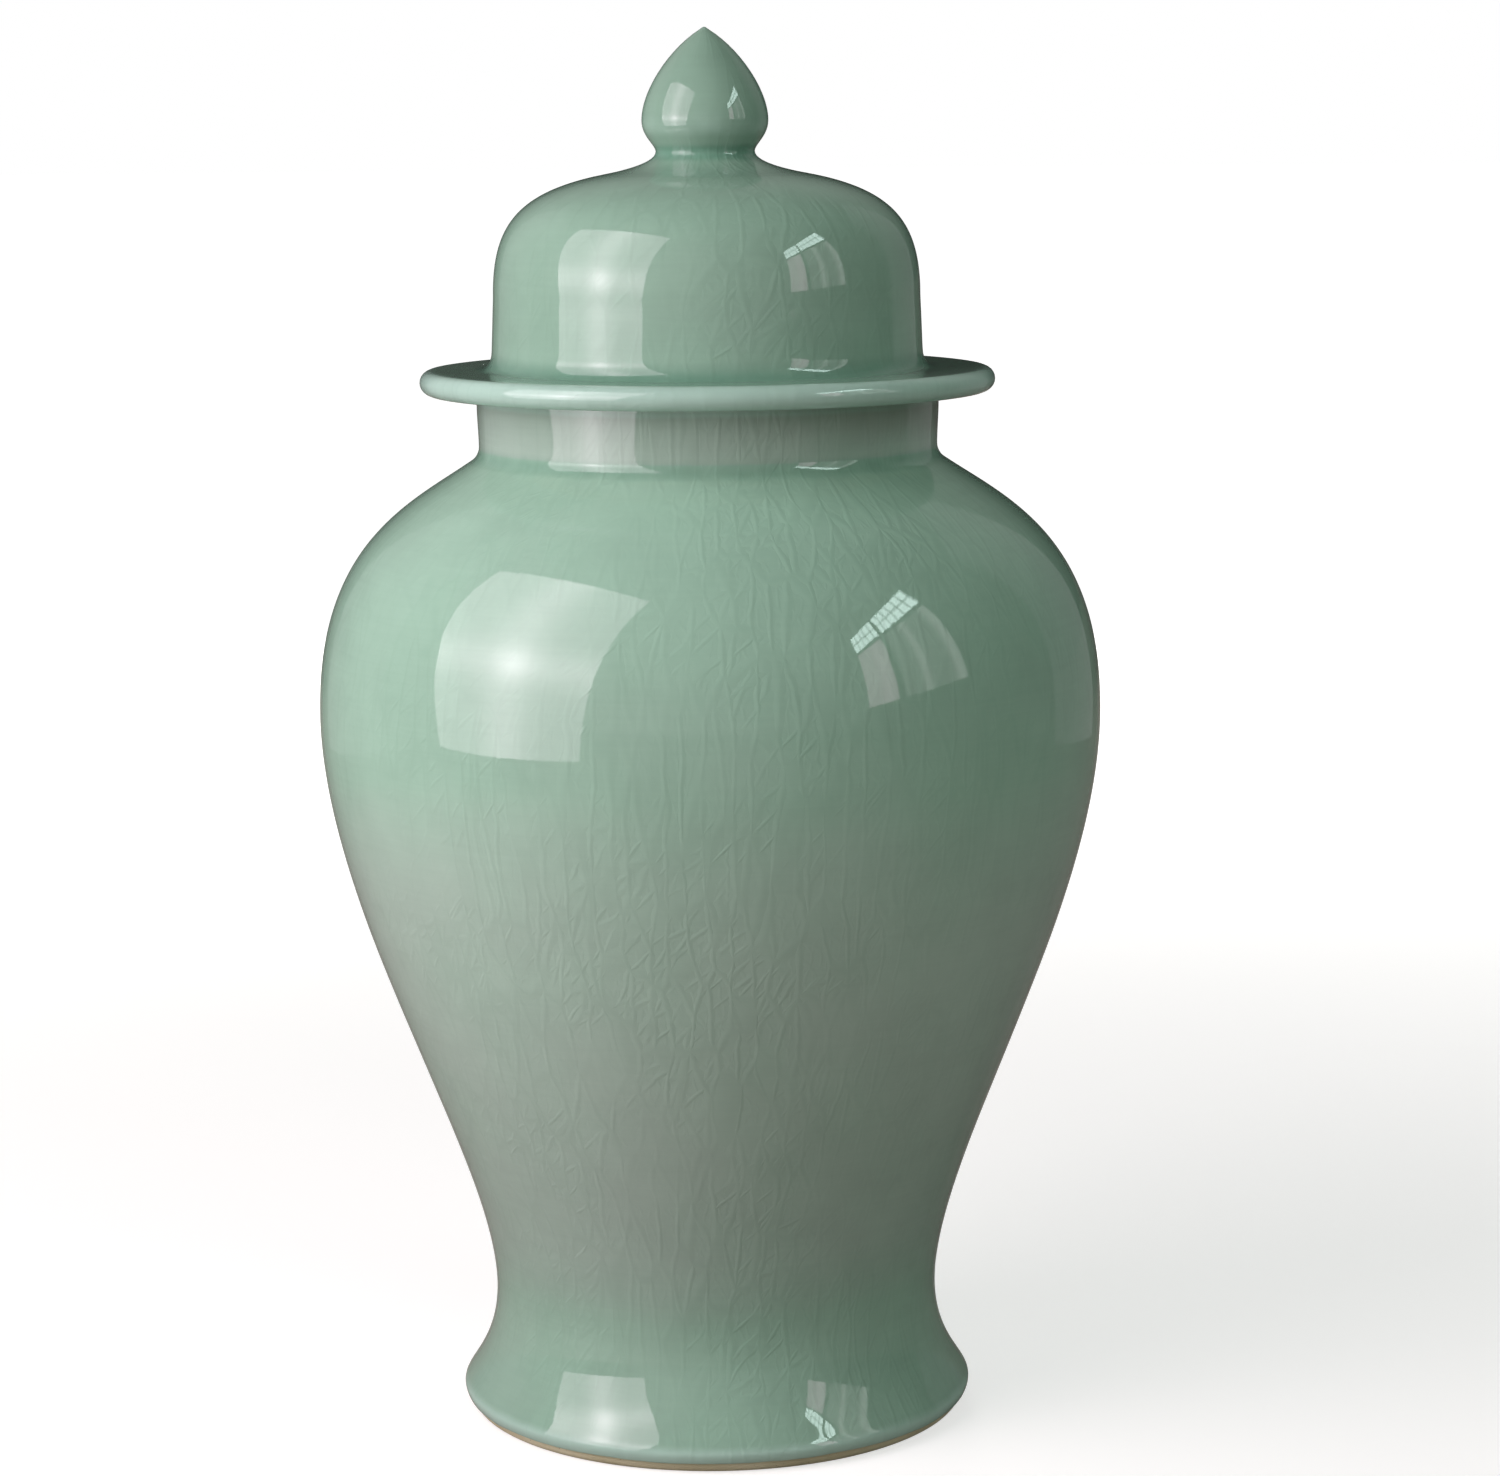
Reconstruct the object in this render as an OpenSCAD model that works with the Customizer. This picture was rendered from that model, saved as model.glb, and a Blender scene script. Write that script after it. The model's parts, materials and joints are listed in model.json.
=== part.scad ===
// Lidded temple jar in crackled celadon stoneware, 460 mm tall.
// Everything is turned about the Z axis. The clay is thrown and luted in sections, and the
// glaze lies over it as its own coats, so the joints between sections don't show outside.
// Origin: centre of the foot ring's underside. +Z is up. Millimetres.

/* [Foot] */
// Radius of the flared foot at its fullest
foot_r = 86; // [82:0.5:90]
// Height of the foot's fullest point
foot_z = 6.5; // [5.5:0.5:8]
// Width of the flat ring that the jar stands on
ring_w = 9; // [6:0.5:11]
// Depth of the recess under the base
recess_h = 6.5; // [5:0.5:8]
// Height at which the outer glaze stops above the table
glaze_line_z = 3.4; // [2.5:0.1:4.5]

/* [Jar] */
// Radius of the waist above the foot
waist_r = 74.5; // [70:0.5:79]
// Height of the waist
waist_z = 40; // [34:1:46]
// Radius of the belly
belly_r = 129.5; // [120:0.5:138]
// Height of the belly's fullest point
belly_z = 237; // [225:1:245]
// Slope of the shoulder where it meets the neck, in degrees
shoulder_slope = 34.5; // [28:0.5:40]
// Height of the crease between shoulder and neck
crease_z = 321.5; // [316:0.5:326]
// Radius of the neck at the crease
neck_r = 75.5; // [73:0.5:78]
// Radius of the neck at the rim
rim_r = 76; // [74:0.5:78]
// Height of the rim, which carries the lid
rim_z = 342; // [338:0.5:346]

/* [Lid] */
// Radius of the brim
brim_r = 94.5; // [90:0.5:100]
// Thickness of the brim
brim_t = 7.75; // [7:0.25:9]
// Radius of the dome where it rises from the brim
dome_r = 70.75; // [70:0.25:72]
// Height at which the dome's wall starts to turn in
dome_turn_z = 373; // [369:1:377]
// Height of the crown where it sweeps up to the finial
crown_z = 413; // [410:0.5:415]
// Depth of the locating ring below the rim
locating_h = 18; // [12:1:24]
// Radial play between the locating ring and the neck
locating_play = 2.5; // [1.5:0.25:3.5]

/* [Finial] */
// Radius of the finial's neck
finial_neck_r = 16.2; // [15:0.1:18]
// Height of the finial's neck
finial_neck_z = 420; // [419:0.5:421]
// Radius of the bud
bud_r = 20.7; // [19:0.1:23]
// Height of the bud's fullest point
bud_z = 430; // [428.5:0.5:432]
// Height of the tip
tip_z = 460; // [455:1:470]

/* [Walls] */
// Whole wall of the jar, glaze to glaze
jar_wall = 7.5; // [6:0.25:9]
// Whole wall of the lid, glaze to glaze
lid_wall = 7; // [6:0.25:8]
// Thickness of each coat of glaze
glaze_t = 1; // [0.75:0.05:1.1]
// Height of the glazed floor inside the jar
floor_z = 17; // [15:0.5:20]

/* [Hidden] */
$fn = 180;

celadon = [0.56, 0.70, 0.61];
clay = [0.74, 0.66, 0.54];

base_z = recess_h + glaze_t;            // underside of the clay base
brim_z = rim_z + brim_t;                // glazed top of the brim
lid_joint_z = brim_z - glaze_t;         // dome luted on the brim
finial_joint_z = finial_neck_z - 3;     // finial luted on the crown
ring_out_r = foot_r - 4.5;              // outer edge of the flat ring
ring_in_r = ring_out_r - ring_w;
recess_r = ring_in_r - 2.5;
seat_r = rim_r + 2;                     // the bare seat under the brim reaches this far
neck_bore_r = neck_r - jar_wall + 1;
locating_r = neck_bore_r - locating_play;
locating_t = 5;
bore_r = locating_r - locating_t;       // opening through the locating ring and the brim
vent_r = 1.5;                           // lets the hollow finial breathe in the kiln
fillet = 3;                             // at the crease between shoulder and neck
bullnose = brim_t / 2;
dome_draft = 0.75;                      // how far the dome's wall draws in on its way up
crown_r = 2 * finial_neck_r;
crown_slope = 10.5;

// ---- Curves: a path is a list of [radius, height] points ----

// A point on the cubic Bezier curve with the control points p.
function bezier_point(p, t) =
    pow(1 - t, 3) * p[0] + 3 * t * pow(1 - t, 2) * p[1] + 3 * t * t * (1 - t) * p[2] + pow(t, 3) * p[3];

// The curve's points in n steps, without its first one, so that curves join end to end.
function bezier(p, n) = [for (i = [1:n]) bezier_point(p, i / n)];

// A rounded corner from a to b around the point corner.
function rounded(a, corner, b, n = 6) =
    bezier([a, a + 0.55 * (corner - a), b + 0.55 * (corner - b), b], n);

function reversed(path) = [for (i = [len(path) - 1:-1:0]) path[i]];
function part(path, first, last) = [for (i = [first:last]) path[i]];
function polar(length, angle) = length * [cos(angle), sin(angle)];

// The unit normal on the right-hand side of the line from a to b, which is outside on a rising path.
function normal(a, b) = let (d = (b - a) / norm(b - a)) [d[1], -d[0]];

// The path moved sideways by d, outwards where d is positive, with its corners kept sharp.
function shifted(path, d) = [
    for (i = [0:len(path) - 1])
        let (
            last = len(path) - 1,
            before = normal(path[max(i - 1, 0)], path[max(i, 1)]),
            after = normal(path[min(i, last - 1)], path[min(i + 1, last)]),
            mitre = before + after,
            p = path[i] + 2 * d / (mitre * mitre) * mitre
        )
        [max(p[0], 0), p[1]]
];

// ---- Outlines ----

flare_steps = 14;
lower_steps = 30;
shoulder_steps = 22;

foot_curve = concat(
    [[foot_r - 0.9, glaze_line_z]],
    bezier([[foot_r - 0.9, glaze_line_z], [foot_r - 0.3, glaze_line_z + 1.2],
            [foot_r, foot_z - 1.2], [foot_r, foot_z]], 5));
flare_curve = bezier([[foot_r, foot_z], [foot_r, foot_z + 3],
                      [waist_r, waist_z - 21], [waist_r, waist_z]], flare_steps);
lower_curve = bezier([[waist_r, waist_z], [waist_r, waist_z + 45],
                      [belly_r, belly_z - 67], [belly_r, belly_z]], lower_steps);
crease = [neck_r, crease_z];
shoulder_end = crease + polar(fillet, -shoulder_slope);
shoulder_curve = bezier([[belly_r, belly_z], [belly_r, belly_z + 57],
                         crease + polar(27.5, -shoulder_slope), shoulder_end], shoulder_steps);
neck_start = crease + [0, fillet];
neck_end = [rim_r, rim_z - 4];
neck_curve = concat(
    rounded(shoulder_end, crease, neck_start),
    bezier([neck_start, neck_start + [0, 4], neck_end - [0, 4], neck_end], 4),
    [[rim_r, rim_z]]);

// The glazed outside of the jar, from the glaze line up to the rim.
jar_outline = concat(foot_curve, flare_curve, lower_curve, shoulder_curve, neck_curve);
jar_clay_outside = shifted(jar_outline, -glaze_t);

// The glazed inside of the jar, from the middle of the floor up to the rim.
waist_at = len(foot_curve) + flare_steps - 1;
wall_curve = shifted(part(jar_outline, waist_at, waist_at + lower_steps + shoulder_steps), -jar_wall);
wall_end = wall_curve[len(wall_curve) - 1];
inner_crease = [neck_bore_r, wall_end[1] + (wall_end[0] - neck_bore_r) * tan(shoulder_slope)];
jar_lining = concat(
    [[0, floor_z], [waist_r - 24, floor_z]],
    bezier([[waist_r - 24, floor_z], [waist_r - 12, floor_z],
            wall_curve[0] - [0, 12], wall_curve[0]], 8),
    part(wall_curve, 1, len(wall_curve) - 1),
    rounded(wall_end, inner_crease, inner_crease + [0, 4]),
    [[neck_bore_r, rim_z]]);
jar_clay_inside = shifted(jar_lining, glaze_t);

// The glazed outside of the lid, from the bare seat round the brim and up to the tip.
dome_foot = [dome_r, brim_z];
dome_turn = [dome_r - dome_draft, dome_turn_z];
crown = [crown_r, crown_z];
finial_neck = [finial_neck_r, finial_neck_z];
bud = [bud_r, bud_z];
tip_round = [1.6, -0.9];
tip_start = [0, tip_z] + tip_round;
brim_outline = concat(
    [[seat_r, rim_z], [brim_r - bullnose, rim_z]],
    [for (a = [-75:15:90]) [brim_r - bullnose, rim_z + bullnose] + polar(bullnose, a)]);
dome_outline = concat(
    [dome_foot + [4, 0]],
    rounded(dome_foot + [4, 0], dome_foot, dome_foot + [0, 6]),
    [dome_turn],
    bezier([dome_turn, dome_turn + [0, 23.5], crown + polar(30, -crown_slope), crown], 20));
finial_outline = concat(
    bezier([crown, crown - polar(4.5, -crown_slope), finial_neck - [0, 3.7], finial_neck], 14),
    bezier([finial_neck, finial_neck + [0, 2.2], bud - [0, 5.2], bud], 12),
    bezier([bud, bud + [0, 9.3], tip_start + polar(12, -32), tip_start], 14),
    bezier([tip_start, tip_start + polar(0.9, 148), [0.6, tip_z], [0, tip_z]], 3));
lid_outline = concat(brim_outline, dome_outline, finial_outline);
lid_clay_outside = shifted(lid_outline, -glaze_t);

// The glazed inside of the dome, from its foot up to the middle of the crown.
dome_inside = shifted(concat([dome_foot], part(dome_outline, 7, len(dome_outline) - 1)), -lid_wall);
dome_inside_end = dome_inside[len(dome_inside) - 1];
lid_lining = concat(
    [[dome_inside[0][0], lid_joint_z]],
    part(dome_inside, 1, len(dome_inside) - 1),
    bezier([dome_inside_end, dome_inside_end + polar(12, 180 - crown_slope),
            [12, finial_joint_z - lid_wall], [0, finial_joint_z - lid_wall]], 6));
lid_clay_inside = concat(
    [[lid_lining[0][0] + glaze_t, lid_joint_z]],
    part(shifted(lid_lining, glaze_t), 1, len(lid_lining) - 1));

// The hollow inside the finial, open at its joint with the crown.
finial_hollow = concat(
    [[0, finial_joint_z - 1], [6, finial_joint_z - 1], [6, finial_joint_z + 2]],
    bezier([[6, finial_joint_z + 2], [9, finial_joint_z + 5], [bud_r - 7.5, bud_z - 6], [bud_r - 7.5, bud_z]], 6),
    bezier([[bud_r - 7.5, bud_z], [bud_r - 7.5, bud_z + 7], [5, tip_z - 14], [0, tip_z - 14]], 8));

// ---- Sections, drawn in the plane of radius and height ----

// The area between a path outside and a path inside.
module wall(outside, inside) polygon(concat(outside, reversed(inside)));

module between(low, high) intersection() {
    children();
    translate([0, low]) square([2 * belly_r, high - low]);
}

module vented() difference() {
    children();
    square([vent_r, tip_z]);
}

// All the clay of the jar, before it is parted into its pieces.
module jar_clay() wall(
    concat(
        [[0, base_z], [recess_r, base_z], [recess_r + 0.5, 1], [ring_in_r, 0], [ring_out_r, 0]],
        rounded([ring_out_r, 0], [jar_clay_outside[0][0] - 0.4, 0], jar_clay_outside[0]),
        part(jar_clay_outside, 1, len(jar_clay_outside) - 1)),
    jar_clay_inside);

// All the clay of the lid above its seat, with the finial still solid.
module lid_clay() wall(
    concat([[bore_r, rim_z], [seat_r, rim_z]], lid_clay_outside),
    concat([[bore_r, rim_z + 2]], lid_clay_inside));

module locating_section() polygon([
    [bore_r, rim_z], [bore_r, rim_z - locating_h + 1], [bore_r + 1, rim_z - locating_h],
    [locating_r - 1.5, rim_z - locating_h], [locating_r, rim_z - locating_h + 1.5], [locating_r, rim_z]]);

// ---- Pieces ----

module foot_ring() color(clay) rotate_extrude() between(0, base_z) jar_clay();
module jar_body() color(clay) rotate_extrude() between(base_z, neck_start[1]) jar_clay();
module neck_collar() color(clay) rotate_extrude() between(neck_start[1], rim_z) jar_clay();
module jar_outer_glaze() color(celadon) rotate_extrude() wall(jar_outline, jar_clay_outside);
module jar_inner_glaze() color(celadon) rotate_extrude() wall(jar_clay_inside, jar_lining);
module base_glaze() color(celadon) translate([0, 0, recess_h]) cylinder(r = recess_r - 1, h = glaze_t);
module lid_locating_ring() color(clay) rotate_extrude() locating_section();
module lid_brim() color(clay) rotate_extrude() between(rim_z, lid_joint_z) lid_clay();
module lid_dome() color(clay) rotate_extrude() vented() between(lid_joint_z, finial_joint_z) lid_clay();
module lid_outer_glaze() color(celadon) rotate_extrude() wall(lid_outline, lid_clay_outside);
module lid_inner_glaze() color(celadon) rotate_extrude() vented() wall(lid_clay_inside, lid_lining);
module finial() color(clay) rotate_extrude() difference() {
    between(finial_joint_z, tip_z) lid_clay();
    polygon(finial_hollow);
}

foot_ring();
jar_body();
neck_collar();
jar_outer_glaze();
jar_inner_glaze();
base_glaze();
lid_locating_ring();
lid_brim();
lid_dome();
finial();
lid_outer_glaze();
lid_inner_glaze();
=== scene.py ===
"""A lidded temple jar in crackled celadon stoneware, as it looks: every coat of glaze and every bare
ring of clay is turned again, finely and a little unevenly, from the section of its CAD node."""

import json
import math

import bmesh
import bpy
import numpy as np
from mathutils import Matrix, Vector, noise

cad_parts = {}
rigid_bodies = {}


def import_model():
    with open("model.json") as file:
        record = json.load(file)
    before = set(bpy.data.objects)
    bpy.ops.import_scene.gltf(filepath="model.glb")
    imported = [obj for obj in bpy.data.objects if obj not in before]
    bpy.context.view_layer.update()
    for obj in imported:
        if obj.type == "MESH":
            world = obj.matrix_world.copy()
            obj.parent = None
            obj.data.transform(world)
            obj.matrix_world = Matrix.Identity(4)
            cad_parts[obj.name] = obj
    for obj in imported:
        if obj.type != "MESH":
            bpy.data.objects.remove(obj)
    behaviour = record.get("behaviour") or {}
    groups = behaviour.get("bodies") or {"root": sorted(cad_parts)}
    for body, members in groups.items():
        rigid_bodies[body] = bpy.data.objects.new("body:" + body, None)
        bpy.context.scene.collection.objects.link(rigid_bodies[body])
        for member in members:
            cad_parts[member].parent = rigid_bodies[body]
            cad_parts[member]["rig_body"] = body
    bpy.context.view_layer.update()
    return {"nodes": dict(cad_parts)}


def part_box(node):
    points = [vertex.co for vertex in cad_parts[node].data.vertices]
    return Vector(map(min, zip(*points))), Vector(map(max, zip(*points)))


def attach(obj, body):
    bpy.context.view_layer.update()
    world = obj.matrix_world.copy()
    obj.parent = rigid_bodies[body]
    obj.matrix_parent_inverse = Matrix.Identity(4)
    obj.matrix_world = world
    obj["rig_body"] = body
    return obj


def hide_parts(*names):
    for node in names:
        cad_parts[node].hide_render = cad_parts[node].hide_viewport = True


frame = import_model()
MM = 0.001


# ---- Sections of the CAD nodes ----

CORNER = math.radians(40)  # a sharper turn than this is a real corner
CORNER_STEPS = (0, 0.25, 0.5, 0.75, 1)
SAME = 3e-6  # vertices closer than this in the section are on one ring
ON_AXIS = 1e-5  # a ring smaller than this is a point on the axis


def section(node):
    """The section of a turned CAD node: its rings as [radius, height], in order with the outside on the
    right-hand side, and True if they make a closed loop or False if they end on the axis."""
    mesh = frame["nodes"][node].data
    co = np.array([v.co for v in mesh.vertices], float)
    flat = np.stack([np.hypot(co[:, 0], co[:, 1]), co[:, 2]], 1)
    ring_of = np.full(len(flat), -1)
    rings = []
    for i, point in enumerate(flat):
        if ring_of[i] < 0:
            near = (np.hypot(*(flat - point).T) < SAME) & (ring_of < 0)
            ring_of[near] = len(rings)
            rings.append(flat[near].mean(0))
    beside = {i: set() for i in range(len(rings))}
    for edge in mesh.edges:
        a, b = (int(ring_of[v]) for v in edge.vertices)
        if a != b:
            beside[a].add(b)
            beside[b].add(a)
    ends = [i for i in beside if len(beside[i]) == 1]
    walk = [ends[0] if ends else 0]
    while ahead := [i for i in beside[walk[-1]] if i not in walk]:
        walk.append(ahead[0])
    points = [rings[i] for i in walk]
    if ends:
        first, last = points[0], points[-1]
        points = [[0, first[1]]] * (first[0] > ON_AXIS) + points + [[0, last[1]]] * (last[0] > ON_AXIS)
    points = np.array(points)
    r, z = points.T
    turns_left = np.sum(r * np.roll(z, -1) - np.roll(r, -1) * z) > 0
    return (points if turns_left else points[::-1]), not ends


def corners_rounded(points, closed, radius):
    """The section with each real corner replaced by a short curve."""
    out = []
    last = len(points) - 1
    for i, p in enumerate(points):
        before, after = points[i - 1], points[(i + 1) % len(points)]
        if not closed and i in (0, last):
            out.append(p)
            continue
        back, ahead = before - p, after - p
        turn = math.acos(np.clip(-back @ ahead / (np.hypot(*back) * np.hypot(*ahead)), -1, 1))
        if turn < CORNER:
            out.append(p)
            continue
        start = p + back * min(radius / np.hypot(*back), 0.45)
        end = p + ahead * min(radius / np.hypot(*ahead), 0.45)
        for t in CORNER_STEPS:
            out.append((1 - t) ** 2 * start + 2 * t * (1 - t) * p + t * t * end)
    return np.array(out)


def curved(points, closed, spacing):
    """The section with a smooth curve through its points, cut into steps of about the spacing."""
    count = len(points)
    out = []
    for i in range(count if closed else count - 1):
        a, b = points[i], points[(i + 1) % count]
        before = points[i - 1] if closed or i else a
        after = points[(i + 2) % count] if closed or i + 2 < count else b
        length = np.hypot(*(b - a))
        leave = (b - before) * length / (length + np.hypot(*(a - before)))
        arrive = (after - a) * length / (length + np.hypot(*(after - b)))
        steps = max(1, math.ceil(length / spacing))
        for t in np.arange(steps) / steps:
            out.append(
                (1 + 2 * t) * (1 - t) ** 2 * a + t * (1 - t) ** 2 * leave
                + t * t * (3 - 2 * t) * b + t * t * (t - 1) * arrive)
    if not closed:
        out.append(points[-1])
    return np.array(out)


def along_section(points):
    """How far along the section each ring lies."""
    return np.concatenate([[0], np.cumsum(np.hypot(*np.diff(points, axis=0).T))])


BEND_SPREAD = 1.6 * MM  # glaze feels the bend of the wall over about this distance
FULL_BEND = 0.25 / MM  # curvature at which glaze pools or thins as far as it goes
# Greying on the neck, and painted shade that greys the slope below the belly where it faces the ground
NECK_GREYING = -0.9
UNDERSIDE_SHADE = -0.8
LEAN_FROM, LEAN_SPAN = 0.08, 0.2  # how far a slope leans out before the painted shade starts to grey it


def glaze_bend(points):
    """The bend of the section at each ring, from -1 at a rounded edge to 1 in a tight hollow."""
    along = np.gradient(points, axis=0)
    length = np.hypot(*along.T)
    heading = np.unwrap(np.arctan2(along[:, 1], along[:, 0]))
    bend = np.gradient(heading) / length
    place = along_section(points)
    near = np.exp(-0.5 * ((place[:, None] - place[None, :]) / BEND_SPREAD) ** 2) * length[None, :]
    return np.clip(-(near @ bend) / near.sum(1) / FULL_BEND, -1, 1)


def greying_and_painted_shade(points):
    """How much greyer the glaze is on each ring: 0 where it is usual, and towards -1 on the neck and on
    the long slope below the belly that faces the ground. On that slope the greying is painted shade, set
    by how far the wall faces down."""
    along = np.gradient(points, axis=0)
    facing_down = along[:, 0] / np.hypot(*along.T)
    # Painted shade: the slope greys as it turns to face the ground
    shaded_slope = np.clip((facing_down - LEAN_FROM) / LEAN_SPAN, 0, 1) * UNDERSIDE_SHADE
    height = points[:, 1]
    return np.where(height < NECK_LOW, shaded_slope, np.where(height < NECK_HIGH, NECK_GREYING, 0))


def crackle_radius(points):
    """A radius for each ring that changes only gently along the section, so that the crackle drawn with
    it keeps its width on steep walls and its length on flat ones."""
    place = along_section(points)
    apart = CRACKLE_SLOPE * np.abs(place[:, None] - place[None, :])
    inner = (points[None, :, 0] + apart).min(1)
    outer = (points[None, :, 0] - apart).max(1)
    return (inner + outer) / 2


def slant(radius, place):
    """The angle by which a crack that climbs at the slant has gone round the jar at each ring."""
    steps = np.diff(place) * SLANT / np.maximum(radius[1:], SMALLEST_TURN)
    return np.concatenate([[0], np.cumsum(steps)])


# ---- Turned pieces ----

neck_low, neck_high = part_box("neck_collar")
NECK_LOW, NECK_HIGH = neck_low[2], neck_high[2]
FINIAL_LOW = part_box("finial")[0][2]
CRACKLE_SLOPE = 0.3  # most that the crackle's radius changes for each step along the section
SLANT = 0.75  # how far round a slanting crack goes for each step up
SMALLEST_TURN = 5 * MM  # radius below which a slanting crack turns no faster

# Brightness of the coat up the jar, and up the lid from its lower edge, as a share of the usual: partly
# the glaze's own tone and partly painted light and shade, lighter round the belly and darker low on the
# jar and over the lid.
JAR_TONES_AND_SHADE = {0: 0.86, 12: 0.87, 24: 0.90, 33: 0.91, 56: 0.86, 92: 0.93, 128: 1.01, 163: 1.06, 212: 1.04,
             258: 0.97, 298: 0.98, 314: 1.05, 330: 1.01}
LID_TONES_AND_SHADE = {0: 0.74, 8: 0.75, 14: 0.87, 45: 0.87, 55: 0.86, 68: 0.83, 80: 0.79, 110: 0.78}
LID_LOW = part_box("lid_outer_glaze")[0][2]
TONE_HEIGHTS = [z * MM for z in JAR_TONES_AND_SHADE] + [LID_LOW - MM] + [LID_LOW + z * MM for z in LID_TONES_AND_SHADE]
TONES_AND_SHADE = [*JAR_TONES_AND_SHADE.values(), JAR_TONES_AND_SHADE[330], *LID_TONES_AND_SHADE.values()]
SWELL = 0.10 * MM  # how far the wall wanders from a true circle
SWELL_SIZE = 55 * MM
TRUE_RADIUS = 20 * MM  # inside this radius the ware wanders less and less
THROWING = 0.012 * MM  # height of the soft rings that throwing leaves
THROWING_PITCH = 8 * MM
GLAZE_EDGE_WAVE = 0.45 * MM  # how much the glaze line rises and falls
GLAZE_EDGE_HIGH = 9 * MM  # height at which that movement has died out


def unevenness(direction, height):
    """Radial distance by which the clay wanders, the same for every piece at one place."""
    swell = noise.noise(Vector((direction[0], direction[1], height / SWELL_SIZE)) * 1.3)
    turn = math.atan2(direction[1], direction[0]) / math.tau
    rings = noise.noise(Vector((0, 3.7, height / THROWING_PITCH + turn)))
    return SWELL * swell + THROWING * rings


def glaze_edge_wave(way):
    """How far the glaze line rises or falls in a direction: a slow wave with a quicker one on it."""
    slow = noise.noise(Vector((*way * 4, 1)))
    quick = noise.noise(Vector((*way * 13, 5)))
    return GLAZE_EDGE_WAVE * (slow + 0.5 * quick)


def turned(name, node, material, spacing, segments, corner, wavy_edge=False):
    """A piece turned from the section of a CAD node, which it replaces. Each vertex carries the coat's
    depth, which holds painted shade on the slope facing the ground, its bend, its tone, which is partly
    painted light and shade, and its places on the straight and the slanting map of the crackle."""
    rings, closed = section(node)
    rings = curved(corners_rounded(rings, closed, corner), closed, spacing)
    place = along_section(rings)
    radii = crackle_radius(rings)
    # Brightness by height, partly painted light and shade
    tones_and_shade = np.interp(rings[:, 1], TONE_HEIGHTS, TONES_AND_SHADE)
    traits = list(zip(greying_and_painted_shade(rings), glaze_bend(rings), tones_and_shade))
    around = [Vector((math.cos(a), math.sin(a))) for a in np.arange(segments) / segments * math.tau]
    verts, coats, straight, slanting, index = [], [], [], [], []
    for (r, z), coat, radius, along, turn in zip(rings, traits, radii, place, slant(radii, place)):
        if r < ON_AXIS:
            index.append([len(verts)])
            verts.append((0, 0, z))
            coats.append(coat)
            straight.append((0, 0, along))
            slanting.append((0, 0, along))
            continue
        turned_back = Matrix.Rotation(-turn, 2)
        index.append(range(len(verts), len(verts) + segments))
        for way in around:
            reach = r + unevenness(way, z) * min(1, r / TRUE_RADIUS)
            lift = 0
            if wavy_edge and z < GLAZE_EDGE_HIGH:
                lift = glaze_edge_wave(way) * (1 - z / GLAZE_EDGE_HIGH)
            verts.append((way.x * reach, way.y * reach, z + lift))
            coats.append(coat)
            straight.append((*way * radius, along))
            slanting.append((*(turned_back @ way) * radius, along))
    faces = []
    for i in range(len(index) if closed else len(index) - 1):
        low, high = index[i], index[(i + 1) % len(index)]
        for s in range(segments):
            n = (s + 1) % segments
            quad = [low[s % len(low)], low[n % len(low)], high[n % len(high)], high[s % len(high)]]
            faces.append(list(dict.fromkeys(quad)))
    mesh = bpy.data.meshes.new(name)
    mesh.from_pydata(verts, [], faces)
    layers = {"coat_and_painted_shade": coats, "straight_place": straight, "slanting_place": slanting}
    for layer, values in layers.items():
        attribute = mesh.attributes.new(layer, "FLOAT_VECTOR", "POINT")
        attribute.data.foreach_set("vector", np.ravel(values))
    mesh.shade_smooth()
    mesh.materials.append(material)
    piece = bpy.data.objects.new(name, mesh)
    bpy.context.scene.collection.objects.link(piece)
    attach(piece, frame["nodes"][node]["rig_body"])
    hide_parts(node)
    return piece


# ---- Node helpers ----


def add(tree, kind, values=(), **settings):
    """A shader node with its settings, and its inputs by name or number as sockets or plain values."""
    node = tree.nodes.new(kind)
    for key, value in settings.items():
        setattr(node, key, value)
    for key, value in dict(values).items():
        if isinstance(value, bpy.types.NodeSocket):
            tree.links.new(value, node.inputs[key])
        else:
            node.inputs[key].default_value = value
    return node


def maths(tree, operation, a, b=0.5):
    return add(tree, "ShaderNodeMath", {0: a, 1: b}, operation=operation).outputs[0]


def product(tree, first, *others):
    for other in others:
        first = maths(tree, "MULTIPLY", first, other)
    return first


def span(tree, value, low, high, to_low=0.0, to_high=1.0, smooth=False):
    """The value mapped from low..high to to_low..to_high, and held there."""
    node = add(
        tree, "ShaderNodeMapRange",
        {"Value": value, "From Min": low, "From Max": high, "To Min": to_low, "To Max": to_high},
        interpolation_type="SMOOTHSTEP" if smooth else "LINEAR")
    return node.outputs["Result"]


def blended(tree, factor, a, b, blend="MIX"):
    node = add(tree, "ShaderNodeMix", data_type="RGBA", blend_type=blend)
    for socket, value in zip((node.inputs[0], node.inputs[6], node.inputs[7]), (factor, a, b)):
        if isinstance(value, bpy.types.NodeSocket):
            tree.links.new(value, socket)
        else:
            socket.default_value = value
    return node.outputs[2]


def grey(tree, value):
    """A number as a colour."""
    return add(tree, "ShaderNodeCombineXYZ", {0: value, 1: value, 2: value}).outputs[0]


def multiplied(tree, colour, by):
    return blended(tree, 1.0, colour, by, "MULTIPLY")


def clouds(tree, vector, size, detail=3.0):
    """Soft noise from 0 to 1, with features of about the size."""
    values = {"Vector": vector, "Scale": 1 / size, "Detail": detail, "Roughness": 0.5}
    return add(tree, "ShaderNodeTexNoise", values).outputs["Fac"]


def off_centre(tree, value, share):
    """A value from 0 to 1 moved to either side of 0, times the share."""
    return maths(tree, "MULTIPLY", maths(tree, "SUBTRACT", value, 0.5), share)


def stretched(tree, vector, x, y, z):
    return add(tree, "ShaderNodeVectorMath", {0: vector, 1: (x, y, z)}, operation="MULTIPLY").outputs[0]


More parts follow.
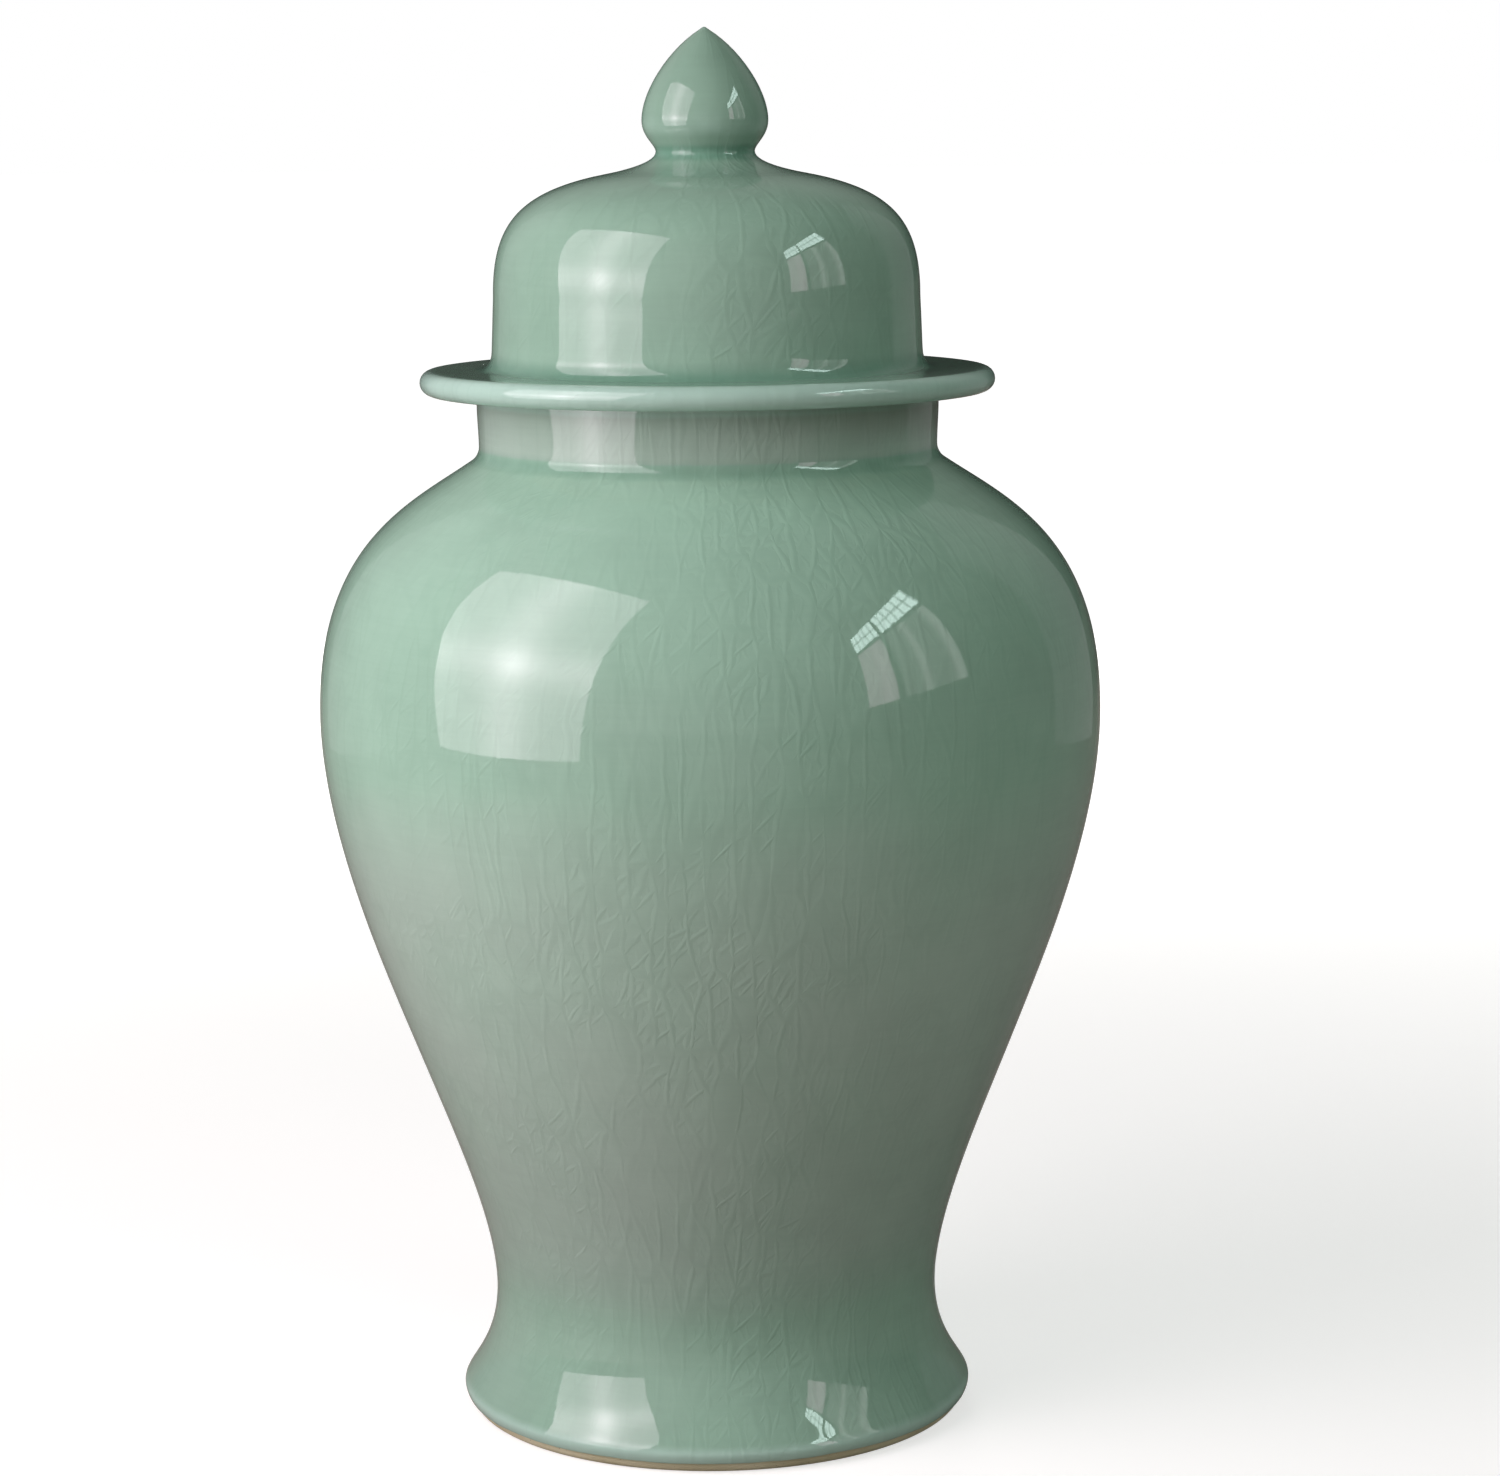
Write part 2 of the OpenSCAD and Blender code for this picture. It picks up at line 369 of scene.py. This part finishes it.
def new_material(name):
    material = bpy.data.materials.new(name)
    material.use_nodes = True
    tree = material.node_tree
    tree.nodes.clear()
    shader = add(tree, "ShaderNodeBsdfPrincipled")
    add(tree, "ShaderNodeOutputMaterial", {"Surface": shader.outputs[0]})
    place = add(tree, "ShaderNodeTexCoord").outputs["Object"]
    return material, tree, shader, place


def set_inputs(tree, shader, values):
    for key, value in values.items():
        if isinstance(value, bpy.types.NodeSocket):
            tree.links.new(value, shader.inputs[key])
        else:
            shader.inputs[key].default_value = value


# ---- Materials ----

GLAZE_GREEN = (0.277, 0.442, 0.335, 1)  # where the coat has its usual depth
GLAZE_GREY = (0.330, 0.432, 0.361, 1)  # where it ran thin on a wall, and also the grey of the neck and the painted shade on the slope facing the ground
GLAZE_POOLED = (0.120, 0.255, 0.180, 1)  # in a hollow
GLAZE_EDGE = (0.372, 0.540, 0.456, 1)  # on a rounded edge, where the pale body shows through
CRACK_STAIN = (0.62, 0.68, 0.64, 1)  # share of the glaze's colour left in a crack
CLAY_TAN = (0.500, 0.460, 0.285, 1)
CLAY_PALE = (0.620, 0.580, 0.395, 1)
CLAY_DARK = (0.210, 0.150, 0.090, 1)  # iron specks

DRIFT_SIZE = 90 * MM  # patches where the whole coat is thicker or thinner
BLOTCH_SIZE = 17 * MM
MOTTLE_SIZE = 9 * MM
STREAK_HIGH = 1.4 * MM
LONG_CELL, LONG_LIP = 6.6 * MM, 1.3 * MM  # space between cracks, and how far a lip reaches from one
SHORT_CELL, SHORT_LIP = 8 * MM, 1.2 * MM
FINE_CELL, FINE_LIP = 3.2 * MM, 0.7 * MM
FINIAL_CRACKLE = 0.35  # share of the crackle's height left on the finial
STAIN_SHARE = 0.09
RELIEF_DEPTH = 0.105 * MM  # of the crackle under the skin
PEEL_SIZE = 6 * MM
WHEEL_HIGH = 2.2 * MM
SKIN_DEPTH = 0.010 * MM
CLAY_TONE_SIZE = 22 * MM
SPECK_SIZE = 0.9 * MM
TURNING_MARK = 0.7 * MM
GRIT_SIZE = 0.6 * MM
GRIT_DEPTH = 0.12 * MM


def shifted_by(tree, place, pattern, across, along):
    """The place moved by a coloured pattern, at most half of across sideways and of along lengthwise."""
    middle = (0.5, 0.5, 0.5)
    moves = add(tree, "ShaderNodeVectorMath", {0: pattern, 1: middle}, operation="SUBTRACT").outputs[0]
    moves = stretched(tree, moves, across, across, along)
    return add(tree, "ShaderNodeVectorMath", {0: place, 1: moves}, operation="ADD").outputs[0]


def wandering(tree, place, size, tall, across):
    """The place made to wander sideways over about the size, and over tall times that lengthwise."""
    vector = stretched(tree, place, 1, 1, 1 / tall)
    values = {"Vector": vector, "Scale": 1 / size, "Detail": 2.0}
    pattern = add(tree, "ShaderNodeTexNoise", values).outputs["Color"]
    return shifted_by(tree, place, pattern, across, across)


def cracks(tree, place, cell, tall):
    """Cells of the width, tall times as long: the distance from the nearest crack round them in metres,
    and a colour of each cell's own."""
    values = {"Vector": stretched(tree, place, 1, 1, 1 / tall), "Scale": 1 / cell}
    edge = add(tree, "ShaderNodeTexVoronoi", values, feature="DISTANCE_TO_EDGE")
    inside = add(tree, "ShaderNodeTexVoronoi", values, feature="F1")
    return maths(tree, "MULTIPLY", edge.outputs["Distance"], cell), inside.outputs["Color"]


def glaze_colour(tree, place, coat):
    """Greener or greyer with the coat's depth, which on the slope facing the ground is painted shade;
    lighter or darker with the tone by height, partly painted light and shade; darker in hollows and
    paler on edges, with soft blotches and the faint level streaks of the wheel."""
    depth, bend, tone = coat.outputs
    # depth brings the painted shade on the slope facing the ground
    thin = maths(tree, "ADD", depth, off_centre(tree, clouds(tree, place, DRIFT_SIZE), 1.2))
    colour = blended(tree, span(tree, thin, 0, -1), GLAZE_GREEN, GLAZE_GREY)
    # tone brings brightness by height, partly painted light and shade
    colour = multiplied(tree, colour, grey(tree, tone))
    bend = maths(tree, "ADD", bend, off_centre(tree, clouds(tree, place, MOTTLE_SIZE), 0.35))
    pooled = span(tree, bend, 0.1, 1.0, 0, 0.85, smooth=True)
    colour = blended(tree, pooled, colour, GLAZE_POOLED)
    edge = span(tree, bend, -0.15, -1.0, 0, 0.9, smooth=True)
    colour = blended(tree, edge, colour, GLAZE_EDGE)
    streaks = clouds(tree, stretched(tree, place, 0.06, 0.06, 1), STREAK_HIGH, detail=4.0)
    colour = multiplied(tree, colour, grey(tree, span(tree, streaks, 0.3, 0.7, 0.985, 1.015)))
    blotches = clouds(tree, place, BLOTCH_SIZE, detail=4.0)
    return multiplied(tree, colour, grey(tree, span(tree, blotches, 0.30, 0.70, 0.965, 1.03)))


def crackle(tree, place):
    """Height of the lips along the cracks, from 0 to 1: long wavering cracks up the wall, curved ones
    slanting between them, and finer ones between those, stronger in some patches than in others."""
    straight = add(tree, "ShaderNodeAttribute", attribute_name="straight_place").outputs["Vector"]
    slanting = add(tree, "ShaderNodeAttribute", attribute_name="slanting_place").outputs["Vector"]
    long_place = wandering(tree, straight, 24 * MM, 2.5, 9 * MM)
    long_place = wandering(tree, long_place, 7 * MM, 1.5, 1.8 * MM)
    long_crack, strip = cracks(tree, long_place, LONG_CELL, 16)
    short_place = shifted_by(tree, slanting, strip, 30 * MM, 90 * MM)
    short_place = wandering(tree, short_place, 20 * MM, 1, 8 * MM)
    short_crack, _ = cracks(tree, short_place, SHORT_CELL, 3.0)
    fine_crack, _ = cracks(tree, wandering(tree, straight, 8 * MM, 1, 3 * MM), FINE_CELL, 2.6)
    long_lip = span(tree, long_crack, 0.0, LONG_LIP, 1, 0, smooth=True)
    short_lip = span(tree, short_crack, 0.0, SHORT_LIP, 0.9, 0, smooth=True)
    fine_lip = span(tree, fine_crack, 0.0, FINE_LIP, 0.3, 0, smooth=True)
    short_patches = span(tree, clouds(tree, place, 32 * MM), 0.44, 0.54, 0.0, 1)
    lip = maths(tree, "MAXIMUM", long_lip, maths(tree, "MULTIPLY", short_lip, short_patches))
    patches = span(tree, clouds(tree, place, 45 * MM), 0.35, 0.50, 0.45, 1)
    lip = maths(tree, "MULTIPLY", maths(tree, "MAXIMUM", lip, fine_lip), patches)
    up = add(tree, "ShaderNodeSeparateXYZ", {0: place}).outputs[2]
    calm = span(tree, up, FINIAL_LOW, FINIAL_LOW + 8 * MM, 1, FINIAL_CRACKLE)
    return maths(tree, "MULTIPLY", lip, calm)


def skin_height(tree, place, lip):
    """Orange peel, level wheel marks and a little of the crackle, left in the smooth skin."""
    peel = clouds(tree, place, PEEL_SIZE, detail=1.0)
    wheel = clouds(tree, stretched(tree, place, 0.04, 0.04, 1), WHEEL_HIGH, detail=1.0)
    height = maths(tree, "MULTIPLY", peel, 0.6)
    height = maths(tree, "ADD", height, maths(tree, "MULTIPLY", wheel, 0.15))
    return maths(tree, "ADD", height, maths(tree, "MULTIPLY", lip, 0.3))


def bump(tree, height, distance, strength=1.0):
    values = {"Strength": strength, "Distance": distance, "Height": height}
    return add(tree, "ShaderNodeBump", values).outputs[0]


def celadon():
    """Celadon glaze: its colour and the relief of its crackle lie under a smooth, glossy, clear skin."""
    material, tree, shader, place = new_material("celadon_glaze")
    # The coat attribute carries painted shade and painted light along with the glaze's own depth, bend
    # and tone
    coat = add(tree, "ShaderNodeAttribute", attribute_name="coat_and_painted_shade").outputs["Vector"]
    coat = add(tree, "ShaderNodeSeparateXYZ", {0: coat})
    colour = glaze_colour(tree, place, coat)
    lip = crackle(tree, place)
    line = maths(tree, "MULTIPLY", maths(tree, "POWER", lip, 4.0), STAIN_SHARE)
    colour = blended(tree, line, colour, multiplied(tree, colour, CRACK_STAIN))
    set_inputs(tree, shader, {
        "Base Color": colour, "Roughness": 0.5, "Specular IOR Level": 0.0,
        "Normal": bump(tree, lip, RELIEF_DEPTH),
        "Coat Weight": 1.0, "Coat Roughness": 0.035, "Coat IOR": 1.5,
        "Coat Normal": bump(tree, skin_height(tree, place, lip), SKIN_DEPTH)})
    return material


def bare_clay():
    """Fired stoneware without glaze: tan and gritty, with iron specks and turning marks."""
    material, tree, shader, place = new_material("bare_clay")
    tone = clouds(tree, place, CLAY_TONE_SIZE, detail=5.0)
    colour = blended(tree, span(tree, tone, 0.35, 0.65), CLAY_TAN, CLAY_PALE)
    specks = span(tree, clouds(tree, place, SPECK_SIZE, detail=2.0), 0.70, 0.76)
    colour = blended(tree, maths(tree, "MULTIPLY", specks, 0.7), colour, CLAY_DARK)
    marks = clouds(tree, stretched(tree, place, 0.05, 0.05, 1), TURNING_MARK, detail=2.0)
    grit = clouds(tree, place, GRIT_SIZE, detail=3.0)
    height = maths(tree, "ADD", grit, maths(tree, "MULTIPLY", marks, 0.6))
    set_inputs(tree, shader, {
        "Base Color": colour, "Roughness": span(tree, grit, 0.3, 0.7, 0.72, 0.92), "IOR": 1.45,
        "Normal": bump(tree, height, GRIT_DEPTH, strength=0.6)})
    return material


# ---- The jar ----

glaze = celadon()
clay = bare_clay()
FINE, PLAIN = 2.5 * MM, 3.5 * MM  # spacing of the rings
ROLLED, CRISP = 0.45 * MM, 0.3 * MM  # radius of a glazed corner, and of a clay one

turned("glaze_outside", "jar_outer_glaze", glaze, FINE, 240, ROLLED, wavy_edge=True)
turned("glaze_inside", "jar_inner_glaze", glaze, PLAIN, 180, ROLLED)
turned("glaze_under_base", "base_glaze", glaze, PLAIN, 120, ROLLED)
turned("clay_foot_ring", "foot_ring", clay, 1.2 * MM, 240, CRISP)
turned("clay_neck", "neck_collar", clay, PLAIN, 180, CRISP)
turned("lid_glaze_outside", "lid_outer_glaze", glaze, 1.6 * MM, 240, ROLLED)
turned("lid_glaze_inside", "lid_inner_glaze", glaze, 2 * MM, 160, ROLLED)
turned("lid_clay_brim", "lid_brim", clay, 2 * MM, 200, CRISP)
turned("lid_clay_ring", "lid_locating_ring", clay, 2 * MM, 200, CRISP)

for hidden in ("jar_body", "lid_dome", "finial"):
    cad_node = frame["nodes"][hidden]
    cad_node.data.materials.clear()
    cad_node.data.materials.append(clay)


# ---- Stage ----

FLOOR_RADIUS = 30
FLOOR_COLOUR = (0.55, 0.54, 0.52, 1)  # of the floor that the camera sees
BOUNCE_COLOUR = (0.30, 0.27, 0.24, 1)  # of the floor that light and reflections see
NEAR_GLOW, FAR_GLOW = 0.60, 1.0  # the seen floor fades into the white room
GLOW_FROM, GLOW_TO = 0.3, 1.6  # distances from the jar over which it fades


def floor_disc(name):
    """A wide round floor with a material of its own."""
    disc = bpy.data.meshes.new(name)
    shape = bmesh.new()
    bmesh.ops.create_circle(shape, cap_ends=True, radius=FLOOR_RADIUS, segments=128)
    shape.to_mesh(disc)
    shape.free()
    floor = bpy.data.objects.new(name, disc)
    bpy.context.scene.collection.objects.link(floor)
    material, tree, shader, place = new_material(name)
    disc.materials.append(material)
    return floor, tree, shader, place


def pale_floor():
    """The floor that the camera sees. Light and reflections pass it by."""
    floor, tree, shader, place = floor_disc("pale_floor")
    away = add(tree, "ShaderNodeVectorMath", {0: place}, operation="LENGTH").outputs["Value"]
    glow = span(tree, away, GLOW_FROM, GLOW_TO, NEAR_GLOW, FAR_GLOW, smooth=True)
    set_inputs(tree, shader, {
        "Base Color": FLOOR_COLOUR, "Roughness": 0.8, "Specular IOR Level": 0.0,
        "Emission Color": (1, 1, 1, 1), "Emission Strength": glow})
    floor.visible_diffuse = False
    floor.visible_glossy = False
    floor.visible_shadow = False


def bounce_floor():
    """The floor that the jar is lit from and reflects, just under the other."""
    floor, tree, shader, _ = floor_disc("bounce_floor")
    set_inputs(tree, shader, {"Base Color": BOUNCE_COLOUR, "Roughness": 0.6})
    floor.visible_camera = False
    floor.location.z = -0.5 * MM


pale_floor()
bounce_floor()


# ---- Light ----

SOFTBOX_RADIANCE = 6.5
WINDOW_RADIANCE = 1.0
CARD_RADIANCE = 0.157
WALL_RADIANCE = 0.176
FILL_RADIANCE = 14.0
ROOM_TOP = 0.09
ROOM_LEFT = 0.013
ROOM_RIGHT = 0.01
ROOM_FRONT = 0.446
ROOM_BACK = 0.34
ROOM_COLOUR = (0.955, 1.0, 0.935, 1)

# The window, in shares of its half width and half height.
STRIP_FROM, STRIP_GLOW, STRIP_TINT = 0.47, 10.5, (0.95, 0.96, 1.0)
BAR_SPACING = 0.09
RAIL_UP = 0.735
LOWER_TO = 0.37
LEFT_PANE_TO, LEFT_GLOW, LEFT_TINT = -0.17, 3.1, (1.0, 0.62, 0.78)
RIGHT_PANE_FROM, RIGHT_GLOW, RIGHT_TINT = -0.03, 0.95, (1.0, 0.80, 0.86)
STILES = (0.42, 0.93)
MULLION_ACROSS, MULLION_HALF = -0.1, 0.045


def panel(name, place, azimuth, tilt, width, height, radiance, colour, reflected=True):
    """A rectangular lamp facing the jar, never seen by the camera, and seen in reflections unless told
    not to be. The azimuth runs from -Y towards +X, and its top leans over the jar by the tilt."""
    lamp = bpy.data.lights.new(name, "AREA")
    lamp.shape = "RECTANGLE"
    lamp.size, lamp.size_y = width, height
    lamp.energy = radiance * math.pi * width * height
    lamp.color = colour
    lamp_object = bpy.data.objects.new(name, lamp)
    lamp_object.location = place
    upright = math.pi / 2 - math.radians(tilt)
    turn = Matrix.Rotation(math.radians(azimuth), 3, "Z") @ Matrix.Rotation(upright, 3, "X")
    lamp_object.rotation_euler = turn.to_euler()
    lamp_object.visible_camera = False
    lamp_object.visible_glossy = reflected
    bpy.context.scene.collection.objects.link(lamp_object)
    return lamp


def lamp_pattern(lamp):
    """The tree of a lamp, its emission, and how far across and up its face, each from -1 to 1."""
    lamp.use_nodes = True
    tree = lamp.node_tree
    emission = tree.nodes["Emission"]
    face = add(tree, "ShaderNodeNewGeometry").outputs["Parametric"]
    face = add(tree, "ShaderNodeSeparateXYZ", {0: face})
    across, up = (span(tree, face.outputs[i], 0, 1, -1, 1) for i in (0, 1))
    return tree, emission, across, up


def bell(tree, value, centre, width):
    """1 at the centre, falling softly to 0 over a few widths."""
    off = maths(tree, "DIVIDE", maths(tree, "SUBTRACT", value, centre), width)
    return maths(tree, "POWER", math.e, maths(tree, "MULTIPLY", maths(tree, "MULTIPLY", off, off), -1))


def softbox_pattern(lamp):
    """An even glow, brighter where the flash tube sits behind the cloth, with a soft cross of light
    round it."""
    tree, emission, across, up = lamp_pattern(lamp)
    upright = product(tree, bell(tree, across, 0.05, 0.30), 0.40)
    level = product(tree, bell(tree, up, -0.17, 0.20), 0.38)
    spot = product(tree, bell(tree, across, 0.10, 0.20), bell(tree, up, -0.18, 0.15), 0.65)
    glow = maths(tree, "ADD", maths(tree, "ADD", upright, level), spot)
    glow = maths(tree, "ADD", glow, 0.44)
    tree.links.new(glow, emission.inputs["Strength"])


def window_strip(tree, across, up):
    """A row of small bright panes between bars, with one rail along it."""
    inside = maths(tree, "GREATER_THAN", up, STRIP_FROM)
    bars = maths(tree, "PINGPONG", maths(tree, "ADD", across, 1), BAR_SPACING)
    bars = span(tree, bars, 0.01, 0.03, 0.45, 1)
    from_rail = maths(tree, "ABSOLUTE", maths(tree, "SUBTRACT", up, RAIL_UP))
    rail = span(tree, from_rail, 0.02, 0.04, 0.5, 1)
    return product(tree, inside, product(tree, bars, rail), STRIP_GLOW)


def window_panes(tree, across, up):
    """The tall dim panes below the strip, left and right of the mullion."""
    lower = maths(tree, "LESS_THAN", up, LOWER_TO)
    inside = maths(tree, "LESS_THAN", across, LEFT_PANE_TO)
    glow = maths(tree, "ADD", product(tree, bell(tree, across, -0.40, 0.14), 0.8), LEFT_GLOW)
    left = product(tree, inside, lower, glow)
    inside = maths(tree, "GREATER_THAN", across, RIGHT_PANE_FROM)
    stiles = [bell(tree, across, place, width) for place, width in zip(STILES, (0.07, 0.08))]
    glow = maths(tree, "ADD", product(tree, maths(tree, "MAXIMUM", *stiles), 1.6), RIGHT_GLOW)
    return left, product(tree, inside, lower, glow)


def window_pattern(lamp):
    """A strip of small bright panes above, and tall dim ones below, between dark bars."""
    tree, emission, across, up = lamp_pattern(lamp)
    strip = window_strip(tree, across, up)
    left, right = window_panes(tree, across, up)
    from_mullion = maths(tree, "ABSOLUTE", maths(tree, "SUBTRACT", across, MULLION_ACROSS))
    beside_mullion = maths(tree, "GREATER_THAN", from_mullion, MULLION_HALF)
    parts = []
    for glow, tint in ((strip, STRIP_TINT), (left, LEFT_TINT), (right, RIGHT_TINT)):
        values = {0: tint, "Scale": glow}
        parts.append(add(tree, "ShaderNodeVectorMath", values, operation="SCALE").outputs[0])
    colour = parts[0]
    for part in parts[1:]:
        colour = add(tree, "ShaderNodeVectorMath", {0: colour, 1: part}, operation="ADD").outputs[0]
    tree.links.new(colour, emission.inputs["Color"])
    tree.links.new(beside_mullion, emission.inputs["Strength"])


softbox_pattern(panel(
    "softbox", (-0.607, -0.362, 0.563), -52.6, 24.4, 0.73, 0.96, SOFTBOX_RADIANCE, (1.0, 0.885, 0.957)))
window_pattern(panel(
    "window", (1.723, -1.126, 1.17), 104, 0, 1.64, 1.38, WINDOW_RADIANCE, (0.80, 1.0, 0.91)))
panel("card", (1.0, 0.85, 0.75), 130, 0, 0.75, 1.6, CARD_RADIANCE, (0.98, 1.0, 1.0))
panel("left_wall", (-1.0, 0.72, 0.7), -126, 0, 0.9, 1.6, WALL_RADIANCE, (0.98, 0.99, 1.0))
panel(
    "back_fill", (0, 2.0, 0.42), 180, 0, 0.4, 0.7, FILL_RADIANCE, (1.0, 0.99, 0.98), reflected=False)


def toward(tree, component, sign, strength):
    """The glow of one side of the room, strongest straight towards it."""
    facing = span(tree, maths(tree, "MULTIPLY", component, sign), 0, 1, 0, 1)
    return product(tree, facing, facing, strength)


def room():
    """A dim room for light and reflections, and plain white for the camera."""
    world = bpy.data.worlds.new("room")
    bpy.context.scene.world = world
    world.use_nodes = True
    tree = world.node_tree
    tree.nodes.clear()
    way = add(tree, "ShaderNodeSeparateXYZ", {0: add(tree, "ShaderNodeTexCoord").outputs["Generated"]})
    x, y, z = way.outputs
    glow = span(tree, z, 0.1, 0.8, 0.0, ROOM_TOP, smooth=True)
    for component, sign, strength in ((x, -1, ROOM_LEFT), (x, 1, ROOM_RIGHT), (y, -1, ROOM_FRONT)):
        glow = maths(tree, "ADD", glow, toward(tree, component, sign, strength))
    higher = span(tree, z, 0.1, 0.6, 0.05, 1, smooth=True)
    glow = maths(tree, "ADD", glow, product(tree, toward(tree, y, 1, ROOM_BACK), higher))
    seen = add(tree, "ShaderNodeBackground", {"Color": (1, 1, 1, 1), "Strength": 1.0})
    unseen = add(tree, "ShaderNodeBackground", {"Color": ROOM_COLOUR, "Strength": glow})
    ray = add(tree, "ShaderNodeLightPath").outputs["Is Camera Ray"]
    either = add(tree, "ShaderNodeMixShader", {0: ray, 1: unseen.outputs[0], 2: seen.outputs[0]})
    add(tree, "ShaderNodeOutputWorld", {"Surface": either.outputs[0]})


room()


# ---- Camera ----

CAMERA_PLACE = (0, -1.2866, 0.432)
CAMERA_PITCH, CAMERA_YAW, CAMERA_ROLL = (math.radians(a) for a in (-9.09, -0.58, -0.47))
FOCAL_LENGTH, SENSOR_WIDTH = 93.65, 36  # mm
camera = bpy.data.objects.new("camera", bpy.data.cameras.new("camera"))
camera.data.lens = FOCAL_LENGTH
camera.data.sensor_width = SENSOR_WIDTH
camera.location = CAMERA_PLACE
camera.rotation_euler = (
    Matrix.Rotation(CAMERA_YAW, 3, "Z") @ Matrix.Rotation(math.pi / 2 + CAMERA_PITCH, 3, "X")
    @ Matrix.Rotation(CAMERA_ROLL, 3, "Z")).to_euler()
bpy.context.scene.collection.objects.link(camera)
bpy.context.scene.camera = camera
bpy.context.scene.view_settings.view_transform = "Standard"
